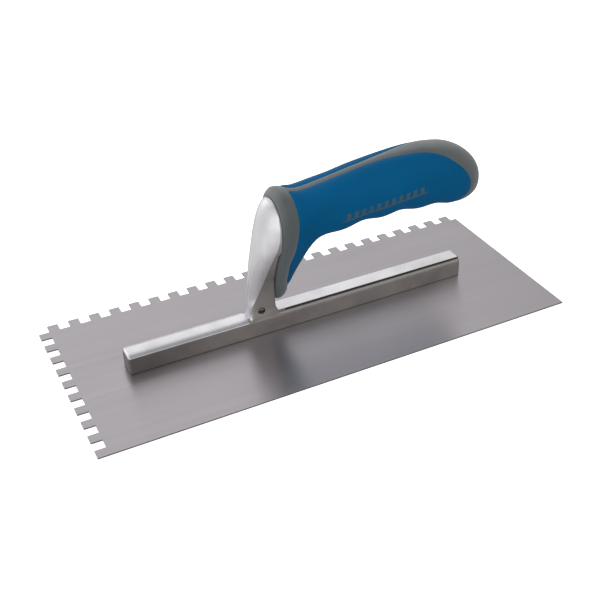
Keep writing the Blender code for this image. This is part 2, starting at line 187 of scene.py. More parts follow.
FLOOR_HALF_SIZE = 60
FLOOR_DROP = 0.3 * MM
FLOOR_GLOW = 0.85
# Brightness of the room by height: straight down, just under the horizon, just over it, half up, overhead.
ROOM_BRIGHTNESS = ((0.0, 0.34), (0.45, 0.42), (0.55, 0.48), (0.75, 0.46), (1.0, 0.34))
# Bright walls of the room: the way to each, where it starts and is full as cosines, and its added brightness.
ROOM_WALLS = (((-0.05, 0.8, 0.6), 0.50, 0.96, 0.66), ((-0.99, 0.1, -0.05), -0.1, 0.62, 0.45),
              ((-0.72, -0.68, 0.05), 0.75, 0.98, 0.35))
# Soft panel: place, width and height in metres, and power in watts.
PANEL_PLACE = (0.6, -1.12, 0.8)
PANEL_SIZE = (1.3, 0.7)
PANEL_POWER = 2.3

CAMERA_PLACE = (-0.2004, -0.4239, 0.3270)
CAMERA_AIM = (0.3958, 0.7299, -0.5572)
CAMERA_LENS = 59.19
CAMERA_SHIFT = (-0.0827, -0.003)
CAMERA_CLIP = (0.01, 200)


def smooth_line(points, x):
    """Height of a smooth line through a few points, level past its ends and with no overshoot."""
    if x <= points[0][0]:
        return points[0][1]
    if x >= points[-1][0]:
        return points[-1][1]
    slopes = [(q[1] - p[1]) / (q[0] - p[0]) for p, q in zip(points, points[1:])]
    tangents = [slopes[0]]
    for before, after in zip(slopes, slopes[1:]):
        tangents.append(0 if before * after <= 0 else 2 * before * after / (before + after))
    tangents.append(slopes[-1])
    for i, (p, q) in enumerate(zip(points, points[1:])):
        if x <= q[0]:
            step = q[0] - p[0]
            t = (x - p[0]) / step
            return ((1 + 2 * t) * (1 - t) ** 2 * p[1] + t * (1 - t) ** 2 * step * tangents[i]
                    + t * t * (3 - 2 * t) * q[1] - t * t * (1 - t) * step * tangents[i + 1])
    return points[-1][1]


def column(table, index):
    """One column of a table of sections, against its first column."""
    return [(row[0], row[index]) for row in table]


def power(value, exponent):
    return (1 if value >= 0 else -1) * abs(value) ** exponent


def eased(value):
    value = min(1, max(0, value))
    return value * value * (3 - 2 * value)


def between(low, high, count):
    return [low + (high - low) * i / count for i in range(count + 1)]


# ---------------------------------------------------------------------------------------------- shaping

def rolled_skin(sections, open_start=False):
    """Skin through sections in millimetres: a flat grid laid on them row by row and welded along its seam.

    Both ends are filled, or only the last with open_start.
    """
    sides = len(sections[0])
    shape = bmesh.new()
    bmesh.ops.create_grid(shape, x_segments=sides, y_segments=len(sections) - 1, size=1)
    shape.verts.ensure_lookup_table()
    for i, vert in enumerate(shape.verts):
        row, place = divmod(i, sides + 1)
        vert.co = Vector(sections[row][place % sides]) * MM
    bmesh.ops.remove_doubles(shape, verts=shape.verts, dist=1e-7)
    rims = [edge for edge in shape.edges if edge.is_boundary]
    if open_start:
        start, end = [Vector([sum(axis) / sides for axis in zip(*sections[row])]) * MM for row in (0, -1)]
        rims = [rim for rim in rims if (rim.verts[0].co - end).length < (rim.verts[0].co - start).length]
    bmesh.ops.holes_fill(shape, edges=rims, sides=0)
    bmesh.ops.recalc_face_normals(shape, faces=shape.faces)
    return shape


def to_mesh(shape, name):
    mesh = bpy.data.meshes.new(name)
    shape.to_mesh(mesh)
    shape.free()
    return mesh


def add_piece(name, mesh, surfaces, replaced=(), sharp=35):
    """Finished piece on the trowel, with its materials and the CAD nodes that it stands for."""
    piece = bpy.data.objects.new(name, mesh)
    bpy.context.scene.collection.objects.link(piece)
    for surface in surfaces:
        mesh.materials.append(surface)
    mesh.shade_smooth()
    if sharp:
        mesh.set_sharp_from_angle(angle=radians(sharp))
    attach(piece, BODY)
    if replaced:
        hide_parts(*replaced)
    return piece


def cut_and_join(mesh, others):
    """Mesh after an exact union with, or difference of, other meshes given as (mesh, operation)."""
    base = bpy.data.objects.new("base", mesh)
    bpy.context.scene.collection.objects.link(base)
    helpers = [base]
    for other, operation in others:
        helper = bpy.data.objects.new(other.name, other)
        bpy.context.scene.collection.objects.link(helper)
        helpers.append(helper)
        change = base.modifiers.new(operation.lower(), "BOOLEAN")
        change.operation = operation
        change.solver = "EXACT"
        change.object = helper
    bpy.context.view_layer.update()
    made = bpy.data.meshes.new_from_object(base.evaluated_get(bpy.context.evaluated_depsgraph_get()))
    for helper in helpers:
        bpy.data.objects.remove(helper, do_unlink=True)
    return made


def round_edges(piece, width, segments=2, angle=35):
    edges = piece.modifiers.new("rounded edges", "BEVEL")
    edges.width = width
    edges.segments = segments
    edges.limit_method = "ANGLE"
    edges.angle_limit = radians(angle)
    edges.harden_normals = True
    return edges


# ---------------------------------------------------------------------------------------------- surfaces

def with_alpha(value):
    """A colour of three numbers gets its fourth, and anything else stays as it is."""
    return (*value, 1) if isinstance(value, tuple) and len(value) == 3 else value


class Finish:
    """Node material under construction: short words for the nodes that the finishes share."""

    def __init__(self, name):
        self.material = bpy.data.materials.new(name)
        self.material.use_nodes = True
        self.tree = self.material.node_tree
        self.shader = self.tree.nodes["Principled BSDF"]
        self.place = self.tree.nodes.new("ShaderNodeTexCoord").outputs["Object"]

    def node(self, kind, **inputs):
        made = self.tree.nodes.new(kind)
        for socket, value in inputs.items():
            self.join(value, made.inputs[socket.replace("_", " ")])
        return made

    def join(self, value, socket):
        if isinstance(value, bpy.types.NodeSocket):
            self.tree.links.new(value, socket)
        else:
            socket.default_value = value

    def stretched(self, x, y, z):
        """Object place with each axis scaled."""
        mapping = self.node("ShaderNodeMapping", Vector=self.place)
        mapping.inputs["Scale"].default_value = (x, y, z)
        return mapping.outputs["Vector"]

    def noise(self, place, scale, detail=3.0, roughness=0.5, distortion=0.0):
        made = self.node("ShaderNodeTexNoise", Vector=place, Scale=scale, Detail=detail, Roughness=roughness,
                         Distortion=distortion)
        return made.outputs["Fac"]

    def ramp(self, value, low, high, to_low=0.0, to_high=1.0):
        made = self.node("ShaderNodeMapRange")
        self.join(value, made.inputs[0])
        for socket, number in zip((1, 2, 3, 4), (low, high, to_low, to_high)):
            self.join(number, made.inputs[socket])
        return made.outputs[0]

    def sum(self, operation, a, b=0.0, c=0.0):
        made = self.tree.nodes.new("ShaderNodeMath")
        made.operation = operation
        for socket, value in zip(made.inputs, (a, b, c)):
            self.join(value, socket)
        return made.outputs[0]

    def blend(self, share, a, b):
        made = self.tree.nodes.new("ShaderNodeMix")
        made.data_type = "RGBA"
        for socket, value in zip((0, 6, 7), (share, a, b)):
            self.join(with_alpha(value), made.inputs[socket])
        return made.outputs[2]

    def relief(self, height, depth, strength=1.0, under=None):
        made = self.node("ShaderNodeBump", Height=height, Strength=strength, Distance=depth)
        if under is not None:
            self.tree.links.new(under, made.inputs["Normal"])
        self.tree.links.new(made.outputs["Normal"], self.shader.inputs["Normal"])
        return made.outputs["Normal"]

    def set(self, **inputs):
        for socket, value in inputs.items():
            self.join(with_alpha(value), self.shader.inputs[socket.replace("_", " ")])


def brushed_steel(colour):
    """Sheet steel brushed along its length, with faint long scratches and cloudy handling marks."""
    steel = Finish("brushed_blade_steel")
    hairlines = steel.noise(steel.stretched(14, 2600, 2600), 1.0, 4.0, 0.65)
    scratches = steel.noise(steel.stretched(5, 900, 900), 1.0, 2.0, 0.5)
    clouds = steel.noise(steel.place, 16.0, 4.0, 0.55, 0.4)
    light = tuple(min(1, c * 1.06) for c in colour)
    dark = tuple(c * 0.93 for c in colour)
    tone = steel.sum("MULTIPLY_ADD", clouds, 0.45, steel.sum("MULTIPLY", hairlines, 0.55))
    steel.set(Base_Color=steel.blend(steel.ramp(tone, 0.3, 0.7), dark, light), Metallic=1.0,
              Roughness=steel.ramp(steel.sum("ADD", clouds, scratches), 0.7, 1.3, 0.30, 0.38),
              Anisotropic=0.85, Tangent=steel.node("ShaderNodeCombineXYZ", Y=1.0).outputs[0])
    steel.relief(hairlines, 0.00002, 0.5)
    return steel.material


def cast_metal(colour):
    """Bead-blasted casting: fine grain, shallow pits and soft clouding, with painted shade darkening its left
    end.
    """
    cast = Finish("cast_alloy_matte")
    grain = cast.noise(cast.place, 2600.0, 3.0, 0.6)
    clouds = cast.noise(cast.place, 60.0, 4.0, 0.6)
    pits = cast.node("ShaderNodeTexVoronoi", Vector=cast.place, Scale=520.0).outputs["Distance"]
    light = tuple(min(1, c * 1.14) for c in colour)
    dark = tuple(c * 0.82 for c in colour)
    along = cast.node("ShaderNodeSeparateXYZ", Vector=cast.place).outputs["X"]
    near, far = LEFT_END_SHADE_REACH
    # Painted shade: the colour darkens towards the bar's left end.
    left_end_shade = cast.ramp(along, CAST_LOW.x + near, CAST_LOW.x + far, LEFT_END_SHADE_STRENGTH, 0.0)
    mottled = cast.blend(cast.ramp(clouds, 0.3, 0.7), dark, light)
    cast.set(Base_Color=cast.blend(left_end_shade, mottled, tuple(c * 0.25 for c in colour)), Metallic=1.0,
             Roughness=cast.ramp(clouds, 0.3, 0.7, 0.46, 0.56))
    fine = cast.relief(grain, 0.00006, 0.5)
    cast.relief(cast.ramp(pits, 0.0, 0.16), 0.00008, 0.35, under=fine)
    return cast.material


def step_shade_and_dark_mark():
    """Dark material: painted shade in the step beside the polished land, also put on the mould mark's faces.
    """
    dirt = Finish("painted_step_shade_and_dark_mark")
    patches = dirt.noise(dirt.stretched(120, 900, 900), 1.0, 3.0, 0.6)
    dirt.set(Base_Color=dirt.blend(patches, (0.012, 0.011, 0.010), (0.05, 0.045, 0.04)), Roughness=0.8,
             Metallic=0.2)
    dirt.relief(patches, 0.00005, 0.4)
    return dirt.material


def sheared_edge_with_shade(colour):
    """Cut edge of the sheet: rougher than its brushed faces, with upright shear marks, and darker, partly as
    painted shade of the thin side and partly as the cut's own tone.
    """
    edge = Finish("sheared_blade_edge_painted_shade")
    marks = edge.noise(edge.stretched(1400, 1400, 90), 1.0, 3.0, 0.6)
    # Base colour 0.30 to 0.62 of the steel: painted shade on the side faces, together with the cut's own
    # darker tone.
    edge.set(Base_Color=edge.blend(marks, tuple(c * 0.30 for c in colour), tuple(c * 0.62 for c in colour)),
             Metallic=1.0, Roughness=0.5)
    edge.relief(marks, 0.00003, 0.5)
    return edge.material


def polished_metal(colour):
    """Hand-polished casting: bright, faintly rippled, with lengthwise polishing streaks."""
    bright = Finish("cast_alloy_polished")
    ripples = bright.noise(bright.stretched(60, 60, 26), 1.0, 2.0, 0.5)
    streaks = bright.noise(bright.stretched(900, 900, 40), 1.0, 3.0, 0.6)
    light = tuple(min(1, c * 1.05) for c in colour)
    dark = tuple(c * 0.88 for c in colour)
    bright.set(Base_Color=bright.blend(bright.ramp(ripples, 0.35, 0.65), dark, light), Metallic=1.0,
               Roughness=bright.ramp(streaks, 0.3, 0.7, 0.25, 0.35))
    wavy = bright.relief(ripples, 0.0012, 0.25)
    bright.relief(streaks, 0.00002, 0.3, under=wavy)
    return bright.material


def ground_metal(colour):
    """Rivet heads ground flush with the blade."""
    ground = Finish("rivet_ground_metal")
    lines = ground.noise(ground.stretched(60, 3000, 3000), 1.0, 3.0, 0.6)
    clouds = ground.noise(ground.place, 300.0, 2.0)
    ground.set(Base_Color=ground.blend(clouds, tuple(c * 0.85 for c in colour), colour), Metallic=1.0,
               Roughness=ground.ramp(lines, 0.3, 0.7, 0.3, 0.42))
    ground.relief(lines, 0.00002, 0.5)
    return ground.material


def moulded_blue(colour, print_colour):
    """Satin blue moulding with a fine spark-eroded grain and a worn printed band of square teeth."""
    blue = Finish("grip_blue_plastic")
    grain = blue.noise(blue.place, 2400.0, 2.0, 0.5)
    flow = blue.noise(blue.stretched(18, 40, 40), 1.0, 3.0)
    parts = blue.node("ShaderNodeSeparateXYZ", Vector=blue.place)
    along, up = parts.outputs["X"], parts.outputs["Z"]
    level = blue.sum("MULTIPLY_ADD", along, -PRINT_SLOPE, up)
    bar = blue.sum("COMPARE", level, PRINT_LEVEL, PRINT_HALF_BAR)
    tooth_high = blue.sum("COMPARE", level, PRINT_LEVEL + PRINT_TOOTH_RISE, PRINT_HALF_TOOTH)
    wave = blue.sum("PINGPONG", along, PRINT_PITCH / 2)
    tooth_wide = blue.sum("GREATER_THAN", wave, PRINT_PITCH / 4)
    teeth = blue.sum("MULTIPLY", tooth_high, tooth_wide)
    length = blue.sum("COMPARE", along, PRINT_CENTRE_X, PRINT_HALF_LENGTH)
    figure = blue.sum("MULTIPLY", blue.sum("MAXIMUM", bar, teeth), length)
    wear = blue.ramp(blue.noise(blue.place, 900.0, 4.0, 0.7), 0.34, 0.5, 0.25, 1.0)
    printed = blue.sum("MULTIPLY", figure, wear)
    light = tuple(min(1, c * 1.10) for c in colour)
    dark = tuple(c * 0.90 for c in colour)
    plain = blue.blend(blue.ramp(flow, 0.3, 0.7), dark, light)
    blue.set(Base_Color=blue.blend(printed, plain, print_colour),
             Roughness=blue.ramp(flow, 0.3, 0.7, 0.48, 0.56), Specular_IOR_Level=0.06)
    blue.relief(grain, 0.00005, 0.35)
    return blue.material


def soft_grey(colour):
    """Matte overmould with a fine pebbled grain and slight bloom."""
    grey = Finish("grip_grey_rubber")
    pebbles = grey.node("ShaderNodeTexVoronoi", Vector=grey.place, Scale=1500.0).outputs["Distance"]
    bloom = grey.noise(grey.place, 45.0, 4.0, 0.6)
    light = tuple(min(1, c * 1.12) for c in colour)
    dark = tuple(c * 0.88 for c in colour)
    grey.set(Base_Color=grey.blend(grey.ramp(bloom, 0.3, 0.7), dark, light),
             Roughness=grey.ramp(bloom, 0.3, 0.7, 0.52, 0.64), Specular_IOR_Level=1.0,
             Sheen_Weight=0.36, Sheen_Roughness=0.6)
    grey.relief(pebbles, 0.00005, 0.3)
    return grey.material


# ---------------------------------------------------------------------------------------------- pieces

def blade_shape(notch, edge_radius):
    """Plate of notch-sized squares: every other square is left out along the back edge and the left end."""
    length = BLADE_HIGH.x - BLADE_LOW.x
    width = BLADE_HIGH.y - BLADE_LOW.y
    columns = int(length / notch) + 1
    rows = round(width / notch)
    shape = bmesh.new()
    bmesh.ops.create_grid(shape, x_segments=columns, y_segments=rows, size=0.5)
    for vert in shape.verts:
        vert.co.x = min(BLADE_LOW.x + round((vert.co.x + 0.5) * columns) * notch, BLADE_HIGH.x)
        vert.co.y = BLADE_HIGH.y - round((0.5 - vert.co.y) * rows) * notch
        vert.co.z = BLADE_LOW.z
    gone = []
    for face in shape.faces:
        middle = face.calc_center_median()
        from_left = int((middle.x - BLADE_LOW.x) / notch)
        from_back = int((BLADE_HIGH.y - middle.y) / notch)
        if (from_back == 0 and from_left % 2 == 0) or (from_left == 0 and from_back % 2 == 0):
            gone.append(face)
    bmesh.ops.delete(shape, geom=gone, context="FACES")
    bmesh.ops.dissolve_limit(shape, angle_limit=0.01, verts=shape.verts, edges=shape.edges)
    pushed = bmesh.ops.extrude_face_region(shape, geom=shape.faces[:])
    raised = [item for item in pushed["geom"] if isinstance(item, bmesh.types.BMVert)]
    bmesh.ops.translate(shape, verts=raised, vec=(0, 0, BLADE_HIGH.z - BLADE_LOW.z))
    bmesh.ops.recalc_face_normals(shape, faces=shape.faces)
    rims = [edge for edge in shape.edges if edge.is_manifold and edge.calc_face_angle(0) > 1]
    bmesh.ops.bevel(shape, geom=rims, offset=edge_radius, affect="EDGES", segments=2, profile=0.5,
                    material=-1)
    return shape


def rivet_centres():
    return [(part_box(name)[0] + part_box(name)[1]) / 2 for name in RIVETS]


def countersinks(clearance, shank, head):
    """Cutter for the rivet holes of the blade: a cone with a straight shank at each rivet."""
    shape = bmesh.new()
    thickness = BLADE_HIGH.z - BLADE_LOW.z
    for centre in rivet_centres():
        at = Matrix.Translation((centre.x, centre.y, BLADE_LOW.z))
        bmesh.ops.create_cone(shape, cap_ends=True, segments=48, radius1=head + clearance * 1.5,
                              radius2=shank + clearance, depth=thickness * 1.25,
                              matrix=at @ Matrix.Translation((0, 0, thickness * 0.375)))
    return to_mesh(shape, "countersinks")


def shank_holes(clearance, shank):
    """Cutter for the blind holes of the bar, a straight one at each rivet."""
    shape = bmesh.new()
    for centre in rivet_centres():
        bmesh.ops.create_cone(shape, cap_ends=True, segments=48, radius1=shank + clearance,
                              radius2=shank + clearance, depth=SHANK_HOLE_DEPTH,
                              matrix=Matrix.Translation((centre.x, centre.y, SHANK_HOLE_MIDDLE_Z)))
    return to_mesh(shape, "shank_holes")


def bar_section(x):
    """Upright outline of the mounting bar at x, drawn in near its ends so that they come out rounded."""
    share = eased((x - BAR_CHANGE_START_X) / (BAR_CHANGE_END_X - BAR_CHANGE_START_X))
    start, end = CAST_LOW.x / MM, BAR_END_X
    into = min(x - start, end - x)
    inset = 0
    if into < BAR_END_RADIUS:
        inset = BAR_END_RADIUS - sqrt(max(0, BAR_END_RADIUS ** 2 - (BAR_END_RADIUS - into) ** 2))
    half = []
    for (y0, z0), (y1, z1) in zip(FRONT_OUTLINE, REAR_OUTLINE):
        y = y0 + (y1 - y0) * share
        z = z0 + (z1 - z0) * share
        height = BAR_FRONT_TOP_Z + (BAR_REAR_TOP_Z - BAR_FRONT_TOP_Z) * share - BAR_FOOT_Z
        half.append((y * (BAR_HALF_WIDTH - inset) / BAR_HALF_WIDTH,
                     BAR_FOOT_Z + (z - BAR_FOOT_Z) * (height - inset) / height))
    loop = half + [(-y, z) for y, z in reversed(half[:-1])]
    return [(x, y, z) for y, z in loop]


def bar_shape():
    start = CAST_LOW.x / MM
    rounding = [BAR_END_RADIUS * (1 - cos(radians(a))) for a in (0, 22, 40, 58, 75, 90)]
    stations = [start + r for r in rounding] + between(start + 2, BAR_CHANGE_START_X, 6)
    stations += between(BAR_CHANGE_START_X, BAR_CHANGE_END_X, 8)[1:]
    stations += between(BAR_CHANGE_END_X, BAR_END_X - 2, 10)[1:]
    stations += [BAR_END_X - r for r in reversed(rounding)]
    return rolled_skin([bar_section(x) for x in stations])


def leaf_section(z, arc=36):
    """Level section of the polished front: a bowed face, a thin rim and a flat back."""
    edge = smooth_line(column(LEAF, 1), z)
    front = smooth_line(column(LEAF, 2), z)
    half = smooth_line(column(LEAF, 3), z)
    low, high = LEAF_DEEPENING_Z
    rim = edge + LEAF_RIM
    back = max(rim, rim + (POST_BACK_X - rim) * eased((z - low) / (high - low)))
    loop = []
    for i in range(arc + 1):
        share = sin(pi * (i / arc - 0.5))
        loop.append((edge - (edge - front) * (1 - abs(share) ** LEAF_POWER), half * share, z))
    side = edge + LEAF_SIDE_START
    loop += [(side, half, z), (back, half * 0.995, z), (back, half * 0.5, z), (back, -half * 0.5, z),
             (back, -half * 0.995, z), (side, -half, z)]
    return loop


def leaf_shape():
    levels = between(LEAF[0][0], 76, 52) + [77, 78, 78.8, 79.5, 80.1, 80.6, 81.0, 81.2, 81.3]
    return rolled_skin([leaf_section(z) for z in levels])


def web_half_width(x, z):
    """The web widens from the polished front to the collar."""
    front = smooth_line(column(WEB, 1), z)
    back = smooth_line(column(WEB, 2), z)
    share = min(1, max(0, (x - front) / (back - front)))
    return smooth_line(column(WEB, 3), z) * (1 - share) + smooth_line(column(WEB, 4), z) * share


def web_section(z, sides=48):
    """Level section of the web: a long rounded block, wider at its back."""
    front = smooth_line(column(WEB, 1), z)
    back = smooth_line(column(WEB, 2), z)
    loop = []
    for i in range(sides):
        turn = 2 * pi * (i + 0.5) / sides
        x = (front + back) / 2 + (back - front) / 2 * power(cos(turn), 2 / WEB_POWER)
        loop.append((x, web_half_width(x, z) * power(sin(turn), 2 / WEB_POWER), z))
    return loop


def web_shape():
    return rolled_skin([web_section(z) for z in between(WEB[0][0], WEB[-1][0], 46)])


def tang_shape(sides=24):
    sections = []
    for x in between(TANG[0][0], TANG[-1][0], 12):
        middle = smooth_line(column(TANG, 1), x)
        half_width = smooth_line(column(TANG, 2), x)
        half_height = smooth_line(column(TANG, 3), x)
        turns = [2 * pi * i / sides for i in range(sides)]
        sections.append([(x, half_width * power(sin(t), 0.45), middle + half_height * power(cos(t), 0.45))
                         for t in turns])
    return rolled_skin(sections)


def gate_mark():
    """Small raised ring with a dot in it, left by the mould on the side of the web."""
    x, z = MARK_PLACE
    half = web_half_width(x, z)
    widening = web_half_width(x + 0.5, z) - web_half_width(x - 0.5, z)
    rising = web_half_width(x, z + 0.5) - web_half_width(x, z - 0.5)
    outward = Vector((-widening, -1, -rising)).normalized()
    shape = bmesh.new()
    upright = Matrix.Rotation(radians(90), 4, "X")
    made = bmesh.ops.create_circle(shape, cap_ends=False, radius=MARK_WIRE_RADIUS * MM, segments=10)
    bmesh.ops.transform(shape, verts=made["verts"],
                        matrix=Matrix.Translation((MARK_RING_RADIUS * MM, 0, 0)) @ upright)
    bmesh.ops.spin(shape, geom=shape.verts[:] + shape.edges[:], cent=(0, 0, 0), axis=(0, 0, 1), angle=2 * pi,
                   steps=32, use_merge=True)
    bmesh.ops.create_uvsphere(shape, u_segments=16, v_segments=10, radius=MARK_DOT_RADIUS * MM)
    bmesh.ops.remove_doubles(shape, verts=shape.verts, dist=1e-6)
    place = Matrix.Translation((Vector((x, -half, z)) + outward * MARK_RISE) * MM)
    turned = outward.to_track_quat("Z", "Y").to_matrix().to_4x4()
    bmesh.ops.transform(shape, verts=shape.verts[:], matrix=place @ turned)
    bmesh.ops.recalc_face_normals(shape, faces=shape.faces)
    return shape


def casting_finish(mesh):
    """Slot 1: the post's front, the bar's crown before it and the land behind it. Slot 2: painted shade in
    the step, and the darkened mould mark.
    """
    for face in mesh.polygons:
        x, y, z = (c / MM for c in face.center)
        half = smooth_line(column(LEAF, 3), z)
        edge = smooth_line(column(LEAF, 1), z)
        front = smooth_line(column(LEAF, 2), z)
        bowed = edge - (edge - front) * (1 - min(1, abs(y) / half) ** LEAF_POWER)
        spread = LEAF_SPREAD if z > LEAF_SPREAD_Z else LEAF_FOOT_SPREAD
        on_leaf = z > LEAF_FOOT_Z and x < bowed + spread and x < LEAF_BACK_X
        on_flank = z > LEAF_CAP_Z or (z > LEAF_FLANK_Z and abs(y) > 0.95 * half)
        on_leaf = on_leaf or (x < LEAF_FLANK_BACK_X and on_flank)
        on_land = LAND_Z[0] < z < LAND_Z[1] and face.normal.z > 0.6 and x > BAR_CHANGE_END_X
        on_crown = CROWN_Z[0] < z < CROWN_Z[1] and x < CROWN_END_X
        # Faces in the step beside the land get painted shade from slot 2.
        in_step = x > STEP_START_X and STEP_Z[0] < z < STEP_Z[1] and STEP_Y[0] < abs(y) < STEP_Y[1]
        # Faces of the mould mark that stand proud of the web are darkened with slot 2.
        near_mark = hypot(x - MARK_PLACE[0], z - MARK_PLACE[1]) < MARK_DARK_RADIUS
        on_mark = near_mark and y < -0.04 - web_half_width(x, z)
        face.material_index = 1 if on_leaf or on_land or on_crown else 2 if in_step or on_mark else 0


def lean_share(x, z):
    """Part of the full lean at a point: all of it at the collar's foot, none at the neck."""
    down = eased((LEAN_TOP_Z - z) / (LEAN_TOP_Z - LEAN_FOOT_Z))
    return down * eased((LEAN_END_X - x) / (LEAN_END_X - COLLAR_X))


def finger_wave(x):
    """Height of the finger grooves under the grip, which fade in at the neck and end in a ridge."""
    if x > FINGER_LAST_X + FINGER_PITCH / 2:
        return -FINGER_WAVE
    low, high = FINGER_FADE_X
    return FINGER_WAVE * cos(2 * pi * (x - FINGER_LAST_X) / FINGER_PITCH) * eased((x - low) / (high - low))


def grip_section(x, inset, sides):
    """One upright section of the grip's outer surface, round the X axis, drawn in by inset."""
    closing = 1
    if x > BUTT_START_X:
        into = (x - BUTT_START_X) / (TIP_X - BUTT_START_X)
        closing = max(0, 1 - into ** BUTT_POWER) ** (1 / BUTT_POWER)
    top = smooth_line(CROWN, x)
    bottom = smooth_line(UNDERSIDE, x) + finger_wave(x)
    middle = (top + bottom) / 2
    if x > BUTT_START_X:
        middle += (TIP_Z - middle) * (1 - closing)
    half_height = max(LEAST_HALF, (top - bottom) / 2 * closing - inset)
    half_width = max(LEAST_HALF, smooth_line(HALF_WIDTH, x) * closing - inset)
    narrowing = smooth_line(NARROWING, x)
    turns = [2 * pi * i / sides for i in range(sides)]
    widest = max(sin(turn) * (1 + narrowing * cos(turn)) for turn in turns)
    loop = []
    for turn in turns:
        y = half_width * power(sin(turn), 2 / OVAL_POWER) * (1 + narrowing * cos(turn)) / widest
        z = middle + half_height * power(cos(turn), 2 / OVAL_POWER)
        loop.append((x - LEAN * lean_share(x, z), y, z))
    return loop


def grip_skin(sides, step):
    """Outer surface of the whole grip, from the bore round the tang to the butt."""
    bore = []
    for i in range(sides):
        turn = 2 * pi * i / sides
        bore.append((COLLAR_X, BORE_HALF_WIDTH * power(sin(turn), 0.5),
                     BORE_Z + BORE_HALF_HEIGHT * power(cos(turn), 0.5)))
    rim = grip_section(COLLAR_X, COLLAR_ROLL, sides)
    sections = [[(b[0] + (r[0] - b[0]) * share, b[1] + (r[1] - b[1]) * share, b[2] + (r[2] - b[2]) * share)
                 for b, r in zip(bore, rim)] for share in (0, 0.25, 0.5, 0.75)]
    for a in (0, 25, 50, 70, 90):
        inset = COLLAR_ROLL * (1 - sin(radians(a)))
        sections.append(grip_section(COLLAR_X + COLLAR_ROLL * (1 - cos(radians(a))), inset, sides))
    first = COLLAR_X + COLLAR_ROLL
    count = round((BUTT_START_X - first) / step)
    sections += [grip_section(x, 0, sides) for x in between(first, BUTT_START_X, count)[1:]]
    reach = TIP_X - BUTT_START_X
    sections += [grip_section(BUTT_START_X + reach * sin(radians(a)), 0, sides)
                 for a in (5, 10, 15, 20, 25, 30, 35, 40, 45, 50, 55, 60, 65, 70, 75, 79, 82.5, 85.5, 88)]
    return rolled_skin(sections, open_start=True)


def sloped_distance(line, level, gap):
    """Distance from a line given as (level, place): the gap along its place axis, less where it slopes."""
    slope = smooth_line(line, level + 0.5) - smooth_line(line, level - 0.5)
    return gap / hypot(1, slope)


def softest(a, b, rounding):
    """The lesser of two distances, with their corner rounded."""
    share = max(rounding - abs(a - b), 0) / rounding
    return min(a, b) - share * share * rounding / 4


def inside_blue(place):
    """Distance in millimetres from the edge of the blue surface: above 0 on the blue, below 0 on the grey."""
    x, y, z = (c / MM for c in place)
    from_collar = sloped_distance(COLLAR_EDGE, z, x - smooth_line(COLLAR_EDGE, z))
    from_butt = sloped_distance(BUTT_EDGE, z, smooth_line(BUTT_EDGE, z) - x)
    found = softest(from_collar, from_butt, CORNER_ROUNDING)
    if z > STRIPE_FOOT_Z:
        from_stripe = abs(y) - smooth_line(STRIPE_HALF_WIDTH, x)
        found = softest(found, from_stripe, CORNER_ROUNDING)
    return found


def split_along(shape, height, snap):
    """Cuts faces where height is 0 and selects those above it. Points close to the line move onto it."""
    values = {}
    for vert in shape.verts:
        value = height(vert.co)
        if abs(value) < snap:
            ahead = [(height(vert.co + Vector(axis) * 0.1 * MM) - value) / 0.1
                     for axis in ((1, 0, 0), (0, 1, 0), (0, 0, 1))]
            gradient = Vector(ahead)
            gradient -= vert.normal * gradient.dot(vert.normal)
            if gradient.length > 0.3:
                vert.co -= gradient * (value / gradient.length_squared) * MM
                value = 0
        values[vert] = value
    crossed = []
    for face in shape.faces:
        signs = [values[vert] for vert in face.verts]
        if min(signs) < 0 < max(signs):
            crossed.append(face)
    bmesh.ops.triangulate(shape, faces=crossed)
    for edge in list(shape.edges):
        a, b = edge.verts
        if values[a] * values[b] < 0:
            _, vert = bmesh.utils.edge_split(edge, a, values[a] / (values[a] - values[b]))
            values[vert] = 0
    on_line = [vert for vert, value in values.items() if value == 0]
    bmesh.ops.connect_verts(shape, verts=on_line)
    for face in shape.faces:
        face.select = height(face.calc_center_median()) > 0


def grip_part(shape, blue):
    """Copy of the split skin with only the faces that were selected as blue, or only the others."""
    part = shape.copy()
    gone = [face for face in part.faces if face.select != blue]
    bmesh.ops.delete(part, geom=gone, context="FACES")
    return part


def sink_seam(shape, depth, reach):
    """Shallow valley along the seam of the two colours."""
    moves = []
    for vert in shape.verts:
        distance = abs(inside_blue(vert.co))
        if distance < 3 * reach and vert.co.x > (COLLAR_X + SEAM_START_X) * MM:
            moves.append((vert, vert.normal * (-depth * MM * SEAM_FALLOFF ** (-(distance / reach) ** 2))))
    for vert, move in moves:
        vert.co += move


# ---------------------------------------------------------------------------------------------- add-on

class TrowelSizes(bpy.types.PropertyGroup):
    """Sizes that shape the trowel's visible pieces."""
    notch: FloatProperty(name="Notch", description="Width and depth of each square notch", default=6 * MM,
                         unit="LENGTH", subtype="DISTANCE")
    blade_edge: FloatProperty(name="Blade Edge", description="Rounding of the blade's cut edges",
                              default=0.08 * MM, unit="LENGTH", subtype="DISTANCE")
    rivet_shank: FloatProperty(name="Rivet Shank", description="Radius of a rivet's shank", default=2 * MM,
                               unit="LENGTH", subtype="DISTANCE")
    rivet_head: FloatProperty(name="Rivet Head", description="Radius of a rivet's countersunk head",
                              default=3.1 * MM, unit="LENGTH", subtype="DISTANCE")
    clearance: FloatProperty(name="Clearance", description="Gap between a rivet and its hole",
                             default=0.12 * MM, unit="LENGTH", subtype="DISTANCE")
    grip_sides: IntProperty(name="Grip Sides", description="Faces round the grip", default=88, min=24)
    grip_step: FloatProperty(name="Grip Step", description="Length of a face along the grip in millimetres",
                             default=1.1, min=0.5)
    seam_depth: FloatProperty(name="Seam Depth", default=0.6,
                              description="Depth in millimetres of the valley between the colours")
    seam_reach: FloatProperty(name="Seam Reach", default=1.3,
                              description="Width in millimetres of one side of that valley")
    shell: FloatProperty(name="Shell", description="Wall of the two grip mouldings", default=2.2 * MM,
                         unit="LENGTH", subtype="DISTANCE")
    lip: FloatProperty(name="Lip", description="Rounding of the mouldings where they meet", default=0.18 * MM,
                       unit="LENGTH", subtype="DISTANCE")


